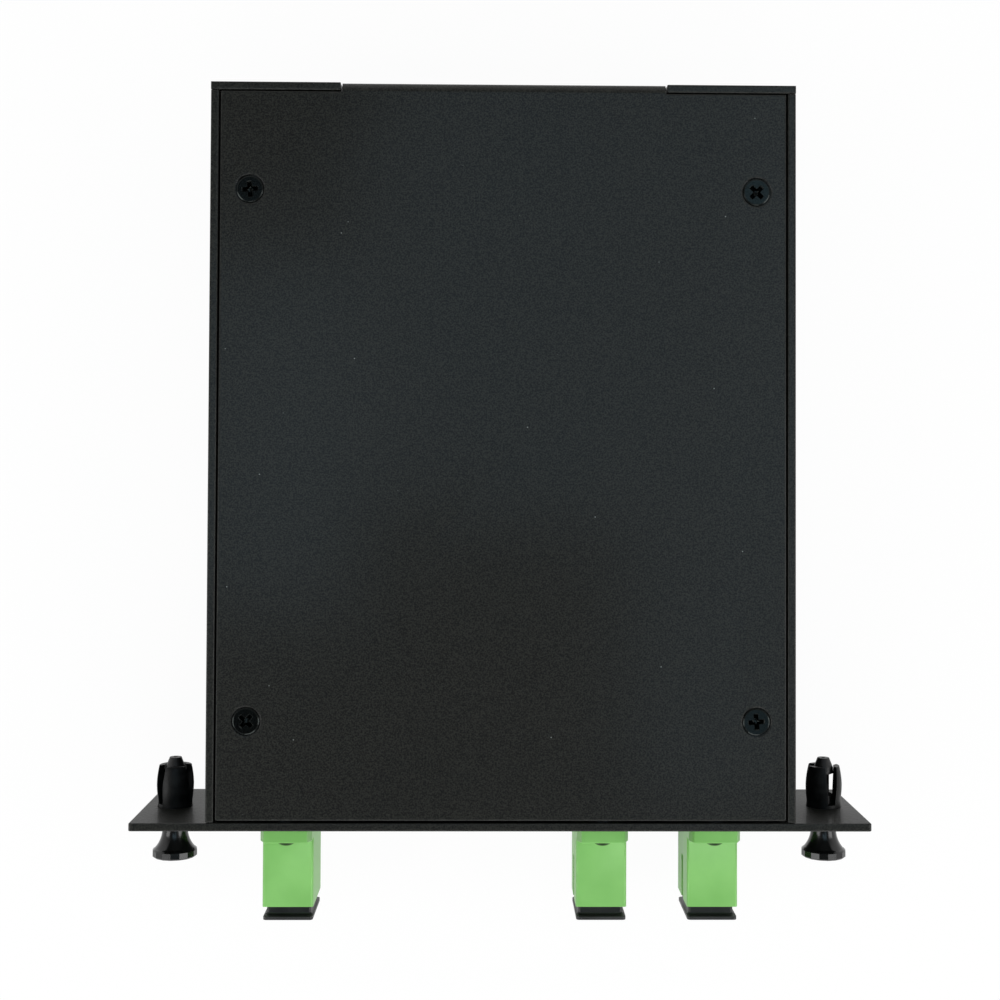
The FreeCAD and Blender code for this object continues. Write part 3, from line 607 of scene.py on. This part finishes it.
# The photograph's view, almost straight down, from 288 mm up. Lens and sensor are in millimetres.
cameraView = {
    "place": (-3.535, 63.004, 288.309), "turn": (1.306, -0.905, 0.235), "lens": 56.13, "sensor": 36.0,
    "shift": (-0.0073, -0.0728), "nearest": 10.0,
}


def makeCamera():
    view = cameraView
    data = bpy.data.cameras.new("photoCamera")
    data.lens = view["lens"]
    data.sensor_width = view["sensor"]
    data.shift_x, data.shift_y = view["shift"]
    data.clip_start = view["nearest"] * mm
    camera = bpy.data.objects.new("photoCamera", data)
    bpy.context.scene.collection.objects.link(camera)
    camera.location = Vector(view["place"]) * mm
    camera.rotation_euler = [math.radians(angle) for angle in view["turn"]]
    bpy.context.scene.camera = camera


# Pieces

# Tray and cover: sheet steel whose coat rounds each cut edge, with a counterbore round each cover hole
sheetLook = {"edgeRound": 0.14, "shortest": 0.6, "boreRadius": 2.58, "boreDepth": 0.5, "boreSides": 64}


def makeTray():
    shape = solidOf("tray")
    roundEdges(shape, sheetLook["edgeRound"], longEdge(sheetLook["shortest"]))
    addPiece("coated_tray", shape, "tray")


def makeTopCover():
    look = sheetLook
    node = "top_cover"
    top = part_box(node)[1][2] / mm
    bores = bmesh.new()
    for x, y in screwCentres("cover_screws", 2):
        bmesh.ops.create_cone(
            bores, cap_ends=True, segments=look["boreSides"], radius1=look["boreRadius"],
            radius2=look["boreRadius"], depth=2 * look["boreDepth"],
            matrix=Matrix.Translation((x, y, top)))
    shape = carve(solidOf(node), bores)
    roundEdges(shape, look["edgeRound"], longEdge(look["shortest"]))
    addPiece("coated_top_cover", shape, node)


# Cover screws: flat heads a little below the cover, with a turned rim, a cross recess and a fine thread
coverScrewLook = {
    "rim": 0.2, "crossRound": 0.16, "recessReach": 1.6, "pitch": 0.5, "threadDepth": 0.16,
    "headDepth": 1.6, "shankReach": 1.4,
}


def makeCoverScrews():
    look = coverScrewLook
    node = "cover_screws"
    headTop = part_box(node)[1][2] / mm
    centres = screwCentres(node, 2)
    shape = solidOf(node)
    reach = look["recessReach"]
    for vert in shape.verts:
        away = awayFrom(centres, vert.co)
        if abs(vert.co.z - headTop) < meshRules["level"] and away.length > reach:
            vert.co -= away.normalized() * look["rim"]
    onTop = flatAcross(2, headTop)

    def roundsRecess(edge):
        middle = (edge.verts[0].co + edge.verts[1].co) / 2
        return onTop(edge) and awayFrom(centres, middle).length < reach

    roundEdges(shape, look["crossRound"], roundsRecess)
    for centre in centres:
        cutThread(shape, centre, headTop - look["headDepth"] / 2, look)
    addPiece("turned_cover_screws", shape, node)


# Adapter housings: a tight mould, so edges are rounded only a little
housingLook = {"edgeRound": 0.1, "shortest": 0.9}


def makeHousing(port):
    node = "adapter_housing_" + port
    shape = solidOf(node)
    roundEdges(shape, housingLook["edgeRound"], longEdge(housingLook["shortest"]))
    addPiece("moulded_housing_" + port, shape, node)


# Ear screws: low domed heads with a cross recess, each turned as far as it was driven, in degrees
earScrewLook = {
    "turns": (12.0, 57.0, 33.0, 8.0, 71.0, 24.0), "arm": 0.95, "slot": 0.46, "depth": 0.6, "taper": 0.55,
}


def makeEarScrews():
    look = earScrewLook
    node = "adapter_screws"
    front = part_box(node)[0][1] / mm
    size = Matrix.Diagonal((2 * look["arm"], 2 * look["depth"], look["slot"], 1))
    cutter = bmesh.new()
    for (x, z), turn in zip(screwCentres(node, 1), look["turns"]):
        for quarter in (0, 90):
            blade = bmesh.ops.create_cube(cutter, size=1.0)["verts"]
            foot = [vert for vert in blade if vert.co.y > 0]
            bmesh.ops.scale(cutter, vec=(look["taper"], 1, 1), verts=foot)
            spin = Matrix.Rotation(math.radians(turn + quarter), 4, "Y")
            place = Matrix.Translation((x, front, z)) @ spin @ size
            bmesh.ops.transform(cutter, matrix=place, verts=blade)
    addPiece("domed_adapter_screws", carve(solidOf(node), cutter), node)


# Dust caps: soft plugs with a broad rim, a hollow skirt and the line where the mould closed
capLook = {
    "corner": 0.6, "rim": 0.6, "rimRound": 0.2, "flare": 0.4, "collarWidth": 8.0, "collarHeight": 9.4,
    "skirtWidth": 7.3, "skirtHeight": 8.9, "wall": 0.7, "endWall": 0.9, "seatGap": 0.05,
    "seam": 0.07, "seamRise": 0.035,
}


def makeDustCap(port):
    look = capLook
    node = "dust_cap_" + port
    (left, front, foot), (right, back, top) = [[value / mm for value in corner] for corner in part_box(node)]
    centre = (left + right) / 2
    width = right - left
    height = top - foot
    rimBack = front + look["rim"]
    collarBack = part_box("adapter_housing_" + port)[0][1] / mm - look["seatGap"]
    innerWidth = look["skirtWidth"] - 2 * look["wall"]
    innerHeight = look["skirtHeight"] - 2 * look["wall"]
    shape = loftOf([
        (front, width, height),
        (rimBack, width, height),
        (rimBack, look["collarWidth"], look["collarHeight"]),
        (collarBack, look["collarWidth"], look["collarHeight"]),
        (collarBack, look["skirtWidth"], look["skirtHeight"]),
        (back, look["skirtWidth"], look["skirtHeight"]),
        (back, innerWidth, innerHeight),
        (front + look["endWall"], innerWidth, innerHeight),
    ], centre, 0.0, look["corner"])
    roundEdges(shape, look["flare"], flatAcross(1, rimBack), segments=4, outward=-1)
    atRims = [flatAcross(1, front), flatAcross(1, rimBack)]
    roundEdges(shape, look["rimRound"], lambda edge: any(test(edge) for test in atRims), segments=3)
    for aside in (-look["seam"], 0.0, look["seam"]):
        everything = list(shape.verts) + list(shape.edges) + list(shape.faces)
        bmesh.ops.bisect_plane(
            shape, geom=everything, dist=meshRules["sliver"], plane_co=(centre + aside, 0, 0),
            plane_no=(1, 0, 0))
    seamAbove = (look["skirtHeight"] + look["collarHeight"]) / 4
    for vert in shape.verts:
        if abs(vert.co.x - centre) < meshRules["level"] and abs(vert.co.z) > seamAbove:
            vert.co.z += math.copysign(look["seamRise"], vert.co.z)
    addPiece("moulded_dust_cap_" + port, shape, node)


# Latches: the grommet's legs and the plunger's knob with the small rounds of their moulds
latchLook = {
    "legRound": 0.09, "legShortest": 0.12, "legSharper": 40.0,
    "knobRound": 0.05, "knobShortest": 0.3, "knobSharper": 20.0, "knobSmooth": 32.0,
}


def makeLatch(side):
    look = latchLook
    node = "latch_grommet_" + side
    shape = solidOf(node)
    roundEdges(shape, look["legRound"], longEdge(look["legShortest"]), sharperThan=look["legSharper"])
    addPiece("split_grommet_" + side, shape, node)

    def onKnob(edge):
        return edge.calc_length() > look["knobShortest"] and max(vert.co.y for vert in edge.verts) < 0

    node = "latch_plunger_" + side
    shape = solidOf(node)
    roundEdges(shape, look["knobRound"], onKnob, sharperThan=look["knobSharper"])
    addPiece("knob_plunger_" + side, shape, node, smoothBelow=look["knobSmooth"], finish="nylonPolished")


# Foam pad under the splitter case: pressed, so its sides swell a little
padLook = {"swell": 0.12, "swellRings": 3, "round": 0.18, "smooth": 60.0, "fill": 0.9}


def makePad():
    look = padLook
    low, high = [Vector(corner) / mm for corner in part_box("splitter_pad")]
    size = high - low
    middle = (low + high) / 2
    shape = bmesh.new()
    bmesh.ops.create_cube(shape, size=1.0)
    place = Matrix.Translation(middle) @ Matrix.Diagonal((*size, 1))
    bmesh.ops.transform(shape, matrix=place, verts=shape.verts)
    upright = [edge for edge in shape.edges if abs(edge.verts[0].co.z - edge.verts[1].co.z) > size.z / 2]
    bmesh.ops.subdivide_edges(shape, edges=upright, cuts=look["swellRings"])
    for vert in shape.verts:
        share = 1 - (2 * (vert.co.z - middle.z) / size.z) ** 2
        vert.co.x += math.copysign(look["swell"] * share, vert.co.x - middle.x)
        vert.co.y += math.copysign(look["swell"] * share, vert.co.y - middle.y)
    roundEdges(shape, look["round"], longEdge(size.z / 2))
    pad = addPiece("foam_pad", shape, "splitter_pad", smoothBelow=look["smooth"])


makeTray()
makeTopCover()
makeCoverScrews()
for port in ports:
    makeHousing(port)
makeEarScrews()
for port in ports:
    makeDustCap(port)
for side in sides:
    makeLatch(side)
makePad()
print("pieces made")

makeWorld()
makeFloor()
makeLamps()
makeCamera()
bpy.context.scene.view_settings.view_transform = "Standard"
print("studio ready")
